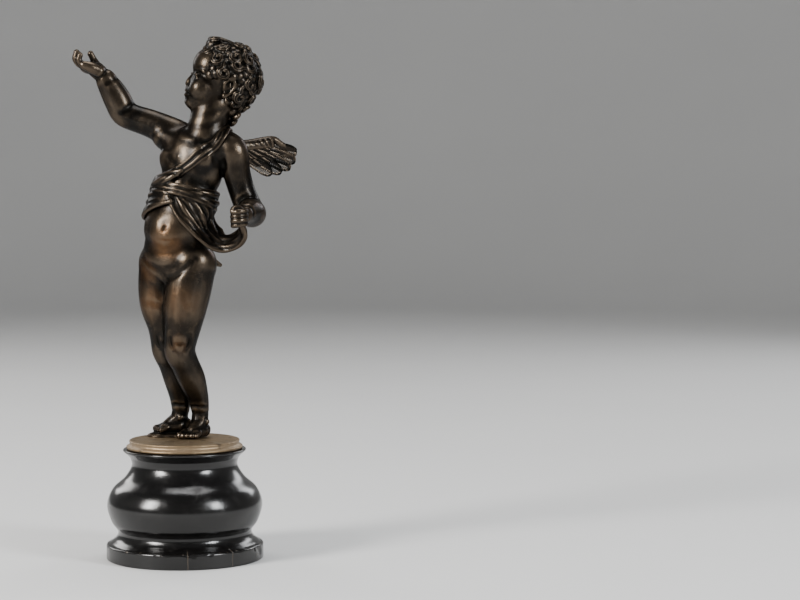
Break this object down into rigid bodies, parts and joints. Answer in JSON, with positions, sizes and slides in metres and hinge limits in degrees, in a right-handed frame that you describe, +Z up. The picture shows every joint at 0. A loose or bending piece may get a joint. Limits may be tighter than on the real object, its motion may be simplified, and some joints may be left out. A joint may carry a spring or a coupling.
{
  "type": "putto statuette",
  "caption": "Winged bronze putto with one arm raised and a sash, standing on a moulded bronze plate and a turned dark wooden socle.",
  "frame": {"origin": "centre of the socle's flat underside", "axes": "+Z up, -X towards the raised right hand, -Y towards a viewer who sees the figure from its left front"},
  "size_m": [0.154, 0.1195, 0.3594],
  "materials": {
    "patinated_bronze": "dark brown patina, rubbed golden brown on the raised parts",
    "plate_bronze": "lighter brown worn bronze",
    "ebonised_wood": "black polished turned wood with small chips and cracks"
  },
  "bodies": {
    "root": {"putto": "patinated_bronze", "base_disc": "plate_bronze", "socle": "ebonised_wood"}
  },
  "joints": []
}
